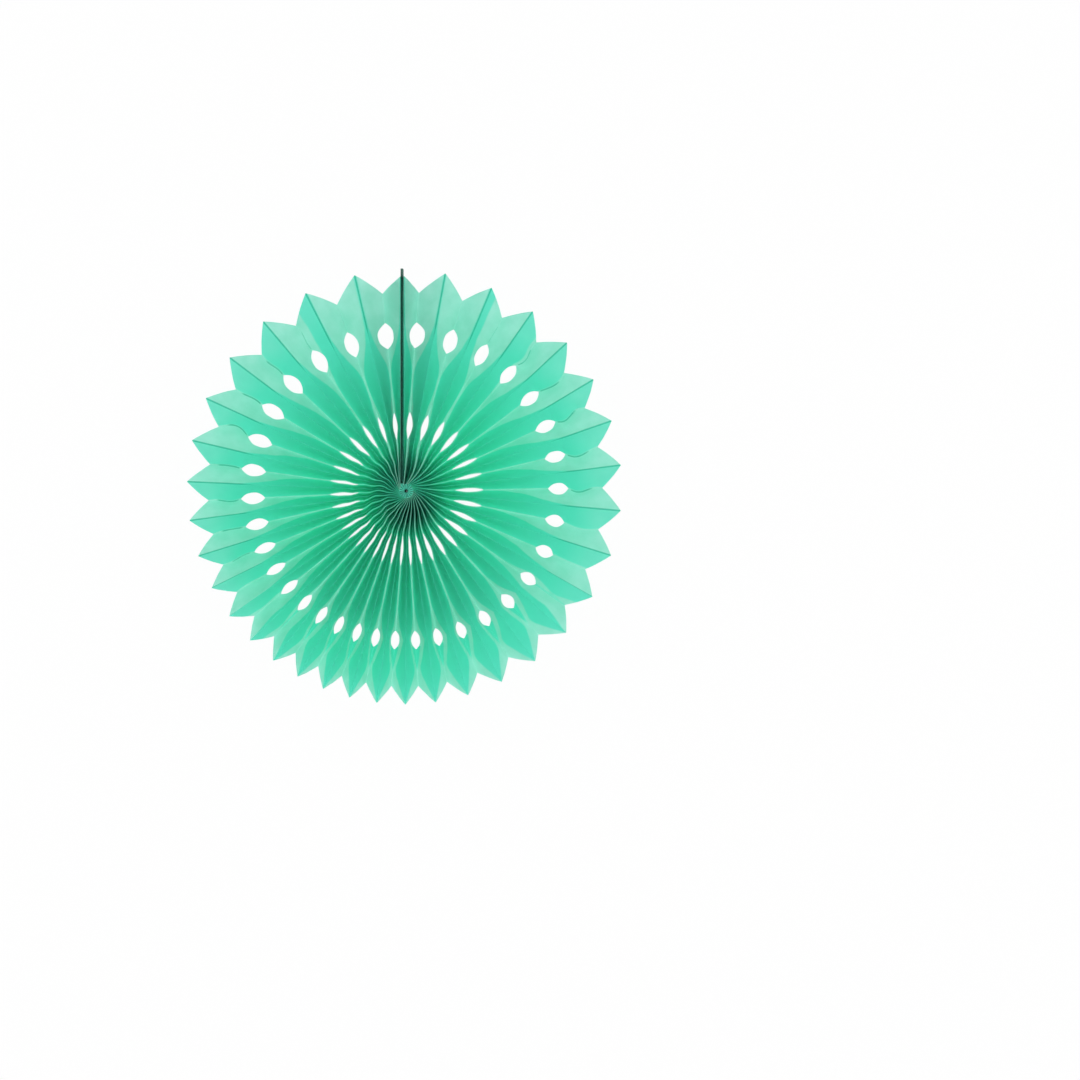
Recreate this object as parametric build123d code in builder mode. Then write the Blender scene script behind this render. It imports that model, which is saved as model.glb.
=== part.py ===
"""Paper fan rosette for a wall: one strip of tissue, pleated and opened to a full round.

The strip is folded into equal leaves, its free end is cut into teeth and two rings of pointed
openings, eyes and slits, are cut through its front folds. A stiff end board is glued on each of
its two end leaves, and the boards are joined back to back at the top of the rosette. The other
end of the pleats is packed tight round a ring of thread at the hub.

Upright frame: +Z up, the face towards -Y, +X to the right. The origin is the middle of the
boards' upper end, where the rosette hangs.
"""

import os
from dataclasses import dataclass
from functools import cache
from math import asin, cos, degrees, pi, radians, sin, sqrt

from build123d import *

os.makedirs("parts", exist_ok=True)

# Lengths in millimetres. Angles in degrees, clockwise from the top, seen from the front.

# Pleated sheet
pleat_count = 34  # front folds, each with an eye and a slit
leaf_width = 25.0  # paper from one fold to the next
sheet_thickness = 0.2
fold_land = 0.42  # blunt width of the paper at a fold
flattest_depth = 7.0  # front folds to back folds, where a leaf is pulled widest

# Rim: the round outline lies a little off the hub, so lengths drift by this much round it
tip_radius = 197.5  # from the hub to the tips of the teeth, at the back folds
tip_drift = 4.1
tooth_height = 19.1  # from the tips down to the notches at the front folds
tooth_drift = 2.4
drift_angle = 330.0  # where the rim is farthest from the hub

# Openings, cut through the folded edge: both ends run to a point
eye_rim_gap = 29.7  # from the notches to the eyes' outer ends
eye_length = 20.9
eye_end_drift = 3.7
eye_point_length = 6.2
eye_cut_depth = 11.4  # into the leaf, from the folded edge
slit_start = 42.0  # from the hub to the slits' inner ends
slit_length = 28.0
slit_point_length = 8.5
slit_cut_depth = 9.0

# Spread of the front folds round the rosette
first_fold_angle = 3.4
last_fold_angle = 352.6
crowding_waves = ((0.0363, 0.0162), (-0.0022, -0.0048), (0.0019, -0.0017))
board_lean_pleats = 2.0  # pleats this near the joined boards follow them towards the hub
twist_radius = 18.0  # a ring between the hub and the slits, where the leaves' facets meet
open_pleat_share = 2.7  # at the hub, the first pleat's share of the round against the others'

# Packed hub
packing_gap = 0.155  # between the folds, side by side
packed_rise = 0.2  # the packed hub stands this far over the folds, front and back
packing_overlap = 0.4  # leaves run this far into the packed hub
hub_bore_radius = 1.3
thread_diameter = 0.7
thread_seat_depth = 0.3  # from the bore's wall to the middle of the thread
thread_clearance = 0.15
thread_sides = 6  # its round section, in flats

# End boards and what joins them
board_thickness = 1.0
board_rise = 5.9  # the boards stand this far over the leaves glued on them
board_corner_radius = 2.0
board_hub_gap = 0.5
board_inset = 2.4  # the joined boards stand this far inside the packed hub's left edge
join_tip_drop = 2.0  # the leaves glued on the boards are this much shorter than the others
glue_line = 0.05
adhesive_thickness = 0.2
adhesive_margin = 3.5
adhesive_end_margin = 16.0

# Sizes that follow
leaf_count = 2 * pleat_count + 2
hub_radius = leaf_count * (fold_land + packing_gap) / (2 * pi)
sheet_start = hub_radius - packing_overlap
packed_depth = leaf_width + 2 * packed_rise
slit_end = slit_start + slit_length
eye_end = tip_radius - tooth_height - eye_rim_gap
eye_start = eye_end - eye_length
join_tip_radius = tip_radius - join_tip_drop
board_reach = join_tip_radius + board_rise
board_start = hub_radius + board_hub_gap
board_length = board_reach - board_start
board_offset = hub_radius - board_inset
board_face = adhesive_thickness / 2 + board_thickness
end_leaf_distance = board_face + glue_line + sheet_thickness / 2

hub_plane = Plane(origin=(board_offset, 0, -board_reach), x_dir=(1, 0, 0), z_dir=(0, -1, 0))
hub_axis = Axis(hub_plane.origin, (0, 1, 0))
thread_plane = Plane(
    origin=hub_plane.origin + Vector(hub_bore_radius + thread_seat_depth, 0, 0),
    x_dir=(1, 0, 0),
    z_dir=(0, 0, 1),
)
join_plane = Plane(origin=(0, 0, -board_reach), x_dir=(0, 1, 0), z_dir=(1, 0, 0))


@dataclass(frozen=True)
class Ring:
    """A near-circle round the hub, where the leaves' flat facets meet."""

    radius: float
    drift: float = 0.0
    cut_depth: float = 0.0  # how much of the front folds is cut away there
    opens: bool = False  # an opening runs on from here to the next ring


rings = (
    Ring(sheet_start),
    Ring(twist_radius),
    Ring(slit_start, opens=True),
    Ring(slit_start + slit_point_length, cut_depth=slit_cut_depth, opens=True),
    Ring(slit_end - slit_point_length, cut_depth=slit_cut_depth, opens=True),
    Ring(slit_end),
    Ring(eye_start, opens=True),
    Ring(eye_start + eye_point_length, cut_depth=eye_cut_depth, opens=True),
    Ring(eye_end - eye_point_length, eye_end_drift, eye_cut_depth, opens=True),
    Ring(eye_end, eye_end_drift),
)


def drifted(mean: float, drift: float, angle: float) -> float:
    """A length that grows by its drift on the side that the rim leans to."""
    return mean + drift * cos(radians(angle - drift_angle))


def polar_point(radius: float, angle: float) -> tuple[float, float]:
    """Point of the hub plane at a radius and a clockwise angle from the top."""
    return radius * sin(radians(angle)), radius * cos(radians(angle))


def join_angles(radius: float) -> tuple[float, float]:
    """Angles of the two end leaves, which stand flat on the boards, at a radius."""
    right = degrees(asin((end_leaf_distance - board_offset) / radius))
    left = degrees(asin((-end_leaf_distance - board_offset) / radius))
    return right, 360 + left


def front_fold_angles(radius: float) -> list[float]:
    """Angles of the front folds at a radius, from the right board round to the left one."""
    right, left = join_angles(radius)
    rim_right, rim_left = join_angles(eye_start)
    swing = min(1.0, max(0.0, (radius - sheet_start) / (slit_start - sheet_start)))
    swing = swing * swing * (3 - 2 * swing)
    angles = []
    for index in range(pleat_count):
        share = index / (pleat_count - 1)
        waved = share
        for order, (sine, cosine) in enumerate(crowding_waves, start=1):
            turn = 2 * pi * order * share
            waved += sine * sin(turn) + cosine * (1 - cos(turn))
        rim_angle = first_fold_angle + (last_fold_angle - first_fold_angle) * waved
        near_right = max(0.0, 1 - (index + 0.5) / board_lean_pleats)
        near_left = max(0.0, 1 - (pleat_count - 0.5 - index) / board_lean_pleats)
        rim_angle += near_right * (right - rim_right) + near_left * (left - rim_left)
        steps = 0.5 if index == 0 else index - 0.5 + open_pleat_share
        hub_angle = right + (left - right) * steps / (pleat_count - 1 + open_pleat_share)
        angles.append(hub_angle + (rim_angle - hub_angle) * swing)
    return angles


def fold_angles(radius: float) -> list[float]:
    """Angles of all folds at a radius: back and front in turn, from board to board."""
    right, left = join_angles(radius)
    fronts = front_fold_angles(radius)
    angles = [right]
    for front, following in zip(fronts, fronts[1:]):
        angles += [front, (front + following) / 2]
    return angles + [fronts[-1], left]


def half_spacing(radius: float, angles: list[float], fold: int) -> float:
    """Mean distance, along the round, from a fold to its two neighbours."""
    return radius * radians(angles[fold + 1] - angles[fold - 1]) / 2


def fold_depths(radius: float) -> list[float]:
    """Place of each fold along Y at a radius: a leaf keeps its width, so a wide pleat is shallow."""
    angles = fold_angles(radius)
    depths = [leaf_width / 2]
    for fold in range(1, len(angles) - 1):
        spacing = half_spacing(radius, angles, fold)
        depth = sqrt(max(leaf_width**2 - spacing**2, flattest_depth**2))
        depths.append(-depth / 2 if fold % 2 else depth / 2)
    return depths + [leaf_width / 2]


@cache
def middle_line(radius: float, cut_depth: float) -> list[Vector]:
    """Corners of the sheet's middle at a radius, unrolled: X along the round, Y front to back.

    Each fold has two corners, a land apart. Where the front folds are cut away, their two corners
    lie down the two leaves.
    """
    folds = [Vector(radius * radians(a), d) for a, d in zip(fold_angles(radius), fold_depths(radius))]
    front_edge = -leaf_width / 2
    corners = [Vector(folds[0].X, front_edge), folds[0], folds[0] + Vector(fold_land, 0)]
    for index, fold in enumerate(folds[1:-1], start=1):
        for neighbour, side in ((folds[index - 1], -1), (folds[index + 1], 1)):
            corner = fold + Vector(side * fold_land / 2, 0)
            if index % 2:
                corner += (neighbour - fold).normalized() * cut_depth
            corners.append(corner)
    return corners + [folds[-1] - Vector(fold_land, 0), folds[-1], Vector(folds[-1].X, front_edge)]


def is_front_land(corner: int) -> bool:
    """Whether a corner and the next one are the two corners of one front fold."""
    return corner % 4 == 3 and corner < 4 * pleat_count


def face_corner(radius: float, cut_depth: float, corner: int, side: int) -> Vector:
    """Corner of the sheet's surface on one side of its middle, placed in the part's frame."""
    line = middle_line(radius, cut_depth)
    ways = []
    for first in (corner - 1, corner):
        missing = first < 0 or first + 1 == len(line) or (cut_depth and is_front_land(first))
        if not missing:
            way = (line[first + 1] - line[first]).normalized()
            ways.append(Vector(-way.Y, way.X))
    mitre = (ways[0] + ways[-1]) / (1 + ways[0].dot(ways[-1]))
    place = line[corner] + mitre * (side * sheet_thickness / 2)
    across, up = polar_point(radius, degrees(place.X / radius))
    return Vector(hub_plane.origin.X + across, place.Y, hub_plane.origin.Z + up)


def end_radii() -> list[float]:
    """Radius at which the sheet ends at each corner of its middle line: tips and notches."""
    join_notch_radius = join_tip_radius - tooth_height
    radii = [join_notch_radius, join_tip_radius, join_tip_radius]
    for fold, angle in enumerate(fold_angles(tip_radius)[1:-1], start=1):
        radius = drifted(tip_radius, tip_drift, angle)
        if fold % 2:
            radius -= drifted(tooth_height, tooth_drift, angle)
        radii += [radius, radius]
    return radii + [join_tip_radius, join_tip_radius, join_notch_radius]


def ring_corners() -> list[list[tuple[Vector, Vector]]]:
    """Corners of every ring, the rim last: each a pair, on the sheet's two sides."""
    corner_folds = [0, *(fold for fold in range(2 * pleat_count + 1) for _ in range(2)), 2 * pleat_count]
    rows = []
    for ring in rings:
        angles = fold_angles(ring.radius)
        radii = [drifted(ring.radius, ring.drift, angles[fold]) for fold in corner_folds]
        rows.append([(radius, ring.cut_depth) for radius in radii])
    rows.append([(radius, 0.0) for radius in end_radii()])
    corners = []
    for row in rows:
        sides = [[face_corner(*place, corner, side) for corner, place in enumerate(row)] for side in (-1, 1)]
        corners.append(list(zip(*sides)))
    return corners


def patch(first: Vector, second: Vector, third: Vector, fourth: Vector) -> list[Face]:
    """Two flat facets that fill the patch between four corners."""
    outlines = ((first, second, third), (first, third, fourth))
    return [Face(Wire.make_polygon(outline, close=True)) for outline in outlines]


def edge_patch(start: tuple[Vector, Vector], end: tuple[Vector, Vector]) -> list[Face]:
    """Facets of a cut edge, across the sheet's thickness."""
    return patch(start[0], start[1], end[1], end[0])


def pleated_sheet() -> Solid:
    """The whole sheet with its openings, from the packed hub out to its teeth."""
    rows = ring_corners()
    last = len(rows[0]) - 1
    faces = []
    for corner in range(last):
        faces += edge_patch(rows[0][corner], rows[0][corner + 1])
        faces += edge_patch(rows[-1][corner], rows[-1][corner + 1])
    for index, (inner, outer) in enumerate(zip(rows, rows[1:])):
        open_here = index < len(rings) and rings[index].opens
        for corner in range(last):
            if not (open_here and is_front_land(corner)):
                for side in (0, 1):
                    faces += patch(
                        inner[corner][side],
                        inner[corner + 1][side],
                        outer[corner + 1][side],
                        outer[corner][side],
                    )
                continue
            faces += edge_patch(inner[corner], outer[corner])
            faces += edge_patch(inner[corner + 1], outer[corner + 1])
            if not rings[index].cut_depth:
                faces += edge_patch(inner[corner], inner[corner + 1])
            if not rings[index + 1].opens:
                faces += edge_patch(outer[corner], outer[corner + 1])
        for corner in (0, last):
            faces += edge_patch(inner[corner], outer[corner])
    return Solid(Shell(faces))


# Folded tissue: one sheet, packed solid at the hub
sheet = pleated_sheet()

with BuildPart() as folded_tissue:
    add(sheet)
    with BuildSketch(hub_plane):
        RegularPolygon(hub_radius, pleat_count)
        Circle(hub_bore_radius, mode=Mode.SUBTRACT)
    extrude(amount=packed_depth / 2, both=True)
    with BuildSketch(thread_plane):
        RegularPolygon(thread_diameter / 2 + thread_clearance, thread_sides)
    revolve(axis=hub_axis, mode=Mode.SUBTRACT)
folded_tissue.part.label = "folded_tissue"

# Thread that gathers the pleats' inner ends
with BuildPart() as binding_thread:
    with BuildSketch(thread_plane):
        RegularPolygon(thread_diameter / 2, thread_sides)
    revolve(axis=hub_axis)
binding_thread.part.label = "binding_thread"

# End boards: flat strips as deep as a leaf, back to back
with BuildPart() as right_end_board:
    with BuildSketch(join_plane.offset(adhesive_thickness / 2)) as board_outline:
        with Locations((0, board_start + board_length / 2)):
            Rectangle(leaf_width, board_length)
        fillet(board_outline.vertices().group_by(Axis.Z)[-1], board_corner_radius)
    extrude(amount=board_thickness)
right_end_board.part.label = "right_end_board"

with BuildPart() as left_end_board:
    add(mirror(right_end_board.part, about=Plane.YZ))
left_end_board.part.label = "left_end_board"

# Strip of double-sided adhesive that closes the round
with BuildPart() as adhesive_strip:
    with BuildSketch(join_plane):
        with Locations((0, board_start + board_length / 2)):
            Rectangle(leaf_width - 2 * adhesive_margin, board_length - 2 * adhesive_end_margin)
    extrude(amount=adhesive_thickness / 2, both=True)
adhesive_strip.part.label = "adhesive_strip"

for piece in (folded_tissue, binding_thread, right_end_board, left_end_board, adhesive_strip):
    export_step(piece.part, f"parts/{piece.part.label}.step")
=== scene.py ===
"""Looks of a paper fan rosette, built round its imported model.

One strip of thin translucent tissue is pleated, opened to a full round and joined between two
stiff boards. The strip is made here as a flat grid and folded by the same rule as the solid.
The rosette's lengths are in millimetres and its angles in degrees clockwise from the top, seen from
the front. The studio's lengths are in metres.
"""

import logging
from dataclasses import dataclass
from enum import Enum
from math import pi, radians

import bpy
import numpy as np
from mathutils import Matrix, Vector

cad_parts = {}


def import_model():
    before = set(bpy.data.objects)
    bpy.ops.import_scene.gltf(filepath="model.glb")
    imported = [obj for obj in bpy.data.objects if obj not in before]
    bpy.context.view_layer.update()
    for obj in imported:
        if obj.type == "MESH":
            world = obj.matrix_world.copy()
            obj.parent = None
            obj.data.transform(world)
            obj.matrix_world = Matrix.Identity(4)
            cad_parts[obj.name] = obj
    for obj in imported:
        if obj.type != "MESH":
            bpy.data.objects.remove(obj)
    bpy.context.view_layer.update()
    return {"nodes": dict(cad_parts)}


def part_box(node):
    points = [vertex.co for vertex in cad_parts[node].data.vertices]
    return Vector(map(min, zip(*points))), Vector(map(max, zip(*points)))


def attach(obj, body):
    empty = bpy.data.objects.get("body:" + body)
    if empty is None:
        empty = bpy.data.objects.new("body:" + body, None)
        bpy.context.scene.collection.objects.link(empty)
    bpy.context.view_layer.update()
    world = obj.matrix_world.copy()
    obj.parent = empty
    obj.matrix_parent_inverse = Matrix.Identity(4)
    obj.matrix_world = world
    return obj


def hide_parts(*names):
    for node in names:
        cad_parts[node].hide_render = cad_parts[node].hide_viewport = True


MILLIMETRE = 0.001
PHOTO_WIDTH = 0.9796  # metres across the photograph at the rosette
PHOTO_CENTRE = (0.1251, -0.2458)  # X and Z of the photograph's middle
WHITE = (1, 1, 1, 1)
OUTSIDE = -1.0  # signed distance of a place that is well outside an edge

Colour = tuple[float, float, float, float]
Curve = tuple[tuple[float, float], ...]
Socket = bpy.types.NodeSocket

log = logging.getLogger("rosette")


class Band(Enum):
    """How a leaf is split into pale, painted as lit, and deep green, painted shade, by the name of the
    curve that says so.
    """

    BOTH = "both"
    PALE = "pale"
    DEEP = "deep"
    PETAL_BEFORE = "petal_before"
    PETAL_AFTER = "petal_after"


def read(curve: Curve, at: np.ndarray | float) -> np.ndarray:
    """A curve's height at each place, by straight lines between its points."""
    return np.interp(at, *np.array(curve).T)


def eased(share: np.ndarray) -> np.ndarray:
    """Shares from 0 to 1 with a soft start and end."""
    return share * share * (3 - 2 * share)


def deselect_all() -> None:
    """Leave nothing selected, in object mode."""
    if bpy.context.object and bpy.context.object.mode != "OBJECT":
        bpy.ops.object.mode_set(mode="OBJECT")
    bpy.ops.object.select_all(action="DESELECT")


def select_only(thing: bpy.types.Object) -> None:
    """Select one object and make it the active one."""
    deselect_all()
    thing.select_set(True)
    bpy.context.view_layer.objects.active = thing


def join_into(base: bpy.types.Object, added: bpy.types.Object) -> None:
    """Make one object of two.

    Args:
        base: Object that stays.
        added: Object that becomes part of it.
    """
    select_only(added)
    base.select_set(True)
    bpy.context.view_layer.objects.active = base
    bpy.ops.object.join()


def dress_with(thing: bpy.types.Object, material: bpy.types.Material) -> None:
    """Give an object one material on all its faces."""
    thing.data.materials.clear()
    thing.data.materials.append(material)


def keep_numbers(mesh: bpy.types.Mesh, name: str, values: np.ndarray) -> None:
    """Keep a number for each point of a mesh, where a finish reads it.

    Args:
        mesh: Mesh of the points.
        name: Name of the attribute.
        values: One number for each point.
    """
    mesh.attributes.new(name, "FLOAT", "POINT").data.foreach_set("value", values.astype(np.float32))


class Nodes:
    """A tree of shader nodes, added and joined in order."""

    def __init__(self, tree: bpy.types.NodeTree) -> None:
        """Empty the tree of a material or of the world."""
        self.tree = tree
        tree.nodes.clear()

    def node(self, kind: str, inputs: dict | None = None, **settings: object) -> bpy.types.Node:
        """Add a node.

        Args:
            kind: The node's type.
            inputs: Values or sockets for its inputs, by name or number.
            settings: Its own properties.

        Returns:
            The new node.
        """
        made = self.tree.nodes.new(kind)
        for key, value in settings.items():
            setattr(made, key, value)
        for key, value in (inputs or {}).items():
            if isinstance(value, bpy.types.NodeSocket):
                self.tree.links.new(value, made.inputs[key])
            else:
                made.inputs[key].default_value = value
        return made

    def math(self, operation: str, first: object, second: object) -> Socket:
        """Two numbers put together."""
        return self.node("ShaderNodeMath", {0: first, 1: second}, operation=operation).outputs[0]

    def mixed(self, share: object, first: Socket, second: Socket) -> Socket:
        """Two shaders mixed, by the share of the second."""
        return self.node("ShaderNodeMixShader", {0: share, 1: first, 2: second}).outputs[0]


class Recipe(Nodes):
    """A material's nodes."""

    def __init__(self, name: str) -> None:
        """Start an empty material of this name."""
        self.material = bpy.data.materials.new(name)
        self.material.use_nodes = True
        super().__init__(self.material.node_tree)

    def place(self) -> Socket:
        """Object coordinates of the surface."""
        return self.node("ShaderNodeTexCoord").outputs["Object"]

    def attribute(self, name: str) -> Socket:
        """A number kept on the mesh, by its name."""
        return self.node("ShaderNodeAttribute", attribute_name=name).outputs["Fac"]

    def noise(self, vector: Socket, scale: float, detail: float) -> Socket:
        """Soft noise.

        Args:
            vector: Where it is read.
            scale: Waves for each metre.
            detail: Finer octaves.

        Returns:
            Its level, from 0 to 1.
        """
        made = self.node("ShaderNodeTexNoise", {"Vector": vector, "Scale": scale, "Detail": detail})
        return made.outputs["Fac"]

    def stretched(self, vector: Socket, scale: tuple[float, float, float]) -> Socket:
        """Coordinates scaled by axis, so that a pattern runs long on one of them."""
        return self.node("ShaderNodeMapping", {"Vector": vector, "Scale": scale}).outputs["Vector"]

    def level(
        self, value: Socket, low: float, high: float, to_low: float = 0.0, to_high: float = 1.0
    ) -> Socket:
        """A number moved from one range to another, clamped.

        Args:
            value: Number to change.
            low: Start of its range.
            high: End of its range.
            to_low: What the start becomes.
            to_high: What the end becomes.

        Returns:
            The new number.
        """
        inputs = {"Value": value, "From Min": low, "From Max": high, "To Min": to_low, "To Max": to_high}
        return self.node("ShaderNodeMapRange", inputs).outputs["Result"]

    def blend(self, share: object, first: object, second: object) -> Socket:
        """Two colours mixed.

        Args:
            share: How much of the second.
            first: Colour or socket.
            second: Colour or socket.

        Returns:
            The mixed colour.
        """
        inputs = {0: share, 6: first, 7: second}
        return self.node("ShaderNodeMix", inputs, data_type="RGBA").outputs[2]

    def bump(self, height: Socket, strength: float, distance: float) -> Socket:
        """Surface normal moved by a height.

        Args:
            height: Height from 0 to 1.
            strength: How much of it shows.
            distance: Metres for a height of 1.

        Returns:
            The normal.
        """
        inputs = {"Height": height, "Strength": strength, "Distance": distance}
        return self.node("ShaderNodeBump", inputs).outputs["Normal"]

    def surface(self, colour: Socket, roughness: float, inputs: dict | None = None) -> Socket:
        """Plain surface.

        Args:
            colour: Its colour.
            roughness: Its roughness.
            inputs: Other values or sockets of the shader, by name.

        Returns:
            The shader.
        """
        told = {"Base Color": colour, "Roughness": roughness, **(inputs or {})}
        return self.node("ShaderNodeBsdfPrincipled", told).outputs[0]

    def front_only(self, shader: Socket) -> Socket:
        """A shader that lets all light through where it is met from behind."""
        clear = self.node("ShaderNodeBsdfTransparent").outputs[0]
        behind = self.node("ShaderNodeNewGeometry").outputs["Backfacing"]
        return self.mixed(behind, shader, clear)

    def finish(self, shader: Socket) -> bpy.types.Material:
        """Join the shader to the output and hand over the material."""
        self.node("ShaderNodeOutputMaterial", {"Surface": shader})
        return self.material


@dataclass(frozen=True)
class TissueFinish:
    """Thin mint-green tissue that lets light through."""

    # deep is painted shade, the green of leaves that the lamps reach only through other leaves; pale is
    # painted as lit straight by the lamps, and dull mottles it at random.
    deep: Colour = (0.155, 0.91, 0.705, 1)
    pale: Colour = (0.48, 0.97, 0.835, 1)
    dull: Colour = (0.38, 0.91, 0.75, 1)
    # crease is painted shade, the dark lines along the folds.
    crease_shade: Colour = (0.05, 0.6, 0.41, 1)
    # packed is the near-black of painted shade where the leaves crowd round the hub.
    packed: Colour = (0.0, 0.05, 0.035, 1)
    see_through: float = 0.74
    roughness: float = 0.75
    pale_edge: float = 0.05

    def material(self) -> bpy.types.Material:
        """Tissue painted pale where lit and deep green where shaded, darker in painted shade at creases
        and near the hub, with fibres.
        """
        recipe = Recipe("tissue")
        place = recipe.place()
        cloud = recipe.level(recipe.noise(place, scale=60, detail=4), low=0.35, high=0.65)
        pale = recipe.blend(cloud, self.pale, self.dull)
        # Painted light: pale where a leaf is painted as lit, deep green where it is painted in shade.
        edge = recipe.level(recipe.attribute("lit_side"), low=-self.pale_edge, high=self.pale_edge)
        # Painted light: a half-pale rim on the shaded leaves at the sides.
        share = recipe.math("MAXIMUM", edge, recipe.attribute("rim_light"))
        face = recipe.blend(share, self.deep, pale)
        # Painted shade: dark lines along the folds.
        crease_shade = recipe.level(recipe.attribute("crease_shade"), low=0.64, high=0.95, to_high=0.85)
        face = recipe.blend(crease_shade, face, self.crease_shade)
        # Painted shade: towards near-black where the leaves crowd round the hub.
        face = recipe.blend(recipe.attribute("painted_hub_shade"), face, self.packed)
        fibres = recipe.noise(place, scale=1800, detail=2)
        normal = recipe.bump(fibres, strength=0.12, distance=0.0002)
        paper = recipe.surface(face, self.roughness, {"Specular IOR Level": 0.2, "Normal": normal})
        glow = recipe.node("ShaderNodeBsdfTranslucent", {"Color": face}).outputs[0]
        sheet = recipe.mixed(self.see_through, paper, glow)
        return recipe.finish(recipe.front_only(sheet))


@dataclass(frozen=True)
class PackedEndsFinish:
    """The leaves' inner ends, packed tight, seen on edge."""

    lit: Colour = (0.11, 0.85, 0.6, 1)
    # gap is painted shade between the lit edges.
    gap_shade: Colour = (0.006, 0.14, 0.09, 1)

    def material(self) -> bpy.types.Material:
        """Pale lit edges with painted shade in the gaps between them."""
        recipe = Recipe("packed_ends")
        speckle = recipe.noise(recipe.place(), scale=2200, detail=2)
        grain = recipe.level(speckle, low=0.35, high=0.65, to_low=0.7)
        ridge = recipe.math("MULTIPLY", recipe.attribute("ridge"), grain)
        return recipe.finish(recipe.surface(recipe.blend(ridge, self.gap_shade, self.lit), roughness=0.85))


@dataclass(frozen=True)
class BoardFinish:
    """Dark grey-green board with a fibrous cut edge, greyer at its open end as painted light, where it
    stands lit clear of the leaves.
    """

    core: Colour = (0.002, 0.035, 0.022, 1)
    fibre: Colour = (0.012, 0.085, 0.06, 1)
    # Painted light: greyer towards the open end, where the board stands lit clear of the leaves.
    lit_end_core: Colour = (0.06, 0.13, 0.105, 1)
    lit_end_fibre: Colour = (0.12, 0.21, 0.175, 1)
    lit_end_start: float = -0.009  # heights in metres, from where the board turns greyer
    lit_end_full: float = -0.004

    def material(self) -> bpy.types.Material:
        """Board with long fibres along its length."""
        recipe = Recipe("board")
        place = recipe.place()
        streaks = recipe.noise(recipe.stretched(place, (1, 1, 0.2)), scale=1500, detail=3)
        share = recipe.level(streaks, low=0.35, high=0.7)
        height = recipe.node("ShaderNodeSeparateXYZ", {0: place}).outputs["Z"]
        # Painted light, greyer towards the open end.
        end = recipe.level(height, low=self.lit_end_start, high=self.lit_end_full)
        inner = recipe.blend(share, self.core, self.fibre)
        outer = recipe.blend(share, self.lit_end_core, self.lit_end_fibre)
        colour = recipe.blend(end, inner, outer)
        normal = recipe.bump(streaks, strength=0.3, distance=0.0003)
        return recipe.finish(recipe.surface(colour, 0.85, {"Specular IOR Level": 0.08, "Normal": normal}))


@dataclass(frozen=True)
class ThreadFinish:
    """Green thread of two twisted strands."""

    # lit and deep are lit and shaded copies of the thread's green, painted on its twist.
    lit: Colour = (0.05, 0.34, 0.2, 1)
    deep: Colour = (0.015, 0.13, 0.075, 1)

    def material(self) -> bpy.types.Material:
        """Thread with painted light and shade on the slanting bands of its twist."""
        recipe = Recipe("thread")
        waves = {"Vector": recipe.place(), "Scale": 900, "Distortion": 2.0, "Detail": 2.0}
        twist = recipe.node("ShaderNodeTexWave", waves, bands_direction="DIAGONAL").outputs["Fac"]
        colour = recipe.blend(twist, self.deep, self.lit)
        normal = recipe.bump(twist, strength=0.6, distance=0.0002)
        return recipe.finish(recipe.surface(colour, 0.85, {"Normal": normal}))


@dataclass(frozen=True)
class AdhesiveFinish:
    """Pale double-sided strip."""

    pale: Colour = (0.7, 0.7, 0.66, 1)
    dull: Colour = (0.6, 0.6, 0.55, 1)

    def material(self) -> bpy.types.Material:
        """Strip with a faint mottle."""
        recipe = Recipe("adhesive")
        mottle = recipe.noise(recipe.place(), scale=400, detail=3)
        return recipe.finish(recipe.surface(recipe.blend(mottle, self.dull, self.pale), roughness=0.6))


@dataclass(frozen=True)
class WhiteFinish:
    """Matt white that the camera sees as white, with a trace of shadow, and not from behind."""

    name: str
    glow: float  # share of plain white that the camera sees
    low: Colour = (0.86, 0.86, 0.86, 1)
    high: Colour = (0.9, 0.9, 0.9, 1)

    def material(self) -> bpy.types.Material:
        """Wall or floor with a faint grain."""
        recipe = Recipe(self.name)
        grain = recipe.noise(recipe.place(), scale=30, detail=2)
        colour = recipe.blend(grain, self.low, self.high)
        matt = recipe.node("ShaderNodeBsdfDiffuse", {"Color": colour}).outputs[0]
        white = recipe.node("ShaderNodeEmission", {"Color": WHITE, "Strength": 1.0}).outputs[0]
        seen = recipe.node("ShaderNodeLightPath").outputs["Is Camera Ray"]
        shown = recipe.math("MULTIPLY", seen, self.glow)
        return recipe.finish(recipe.front_only(recipe.mixed(shown, matt, white)))


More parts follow.
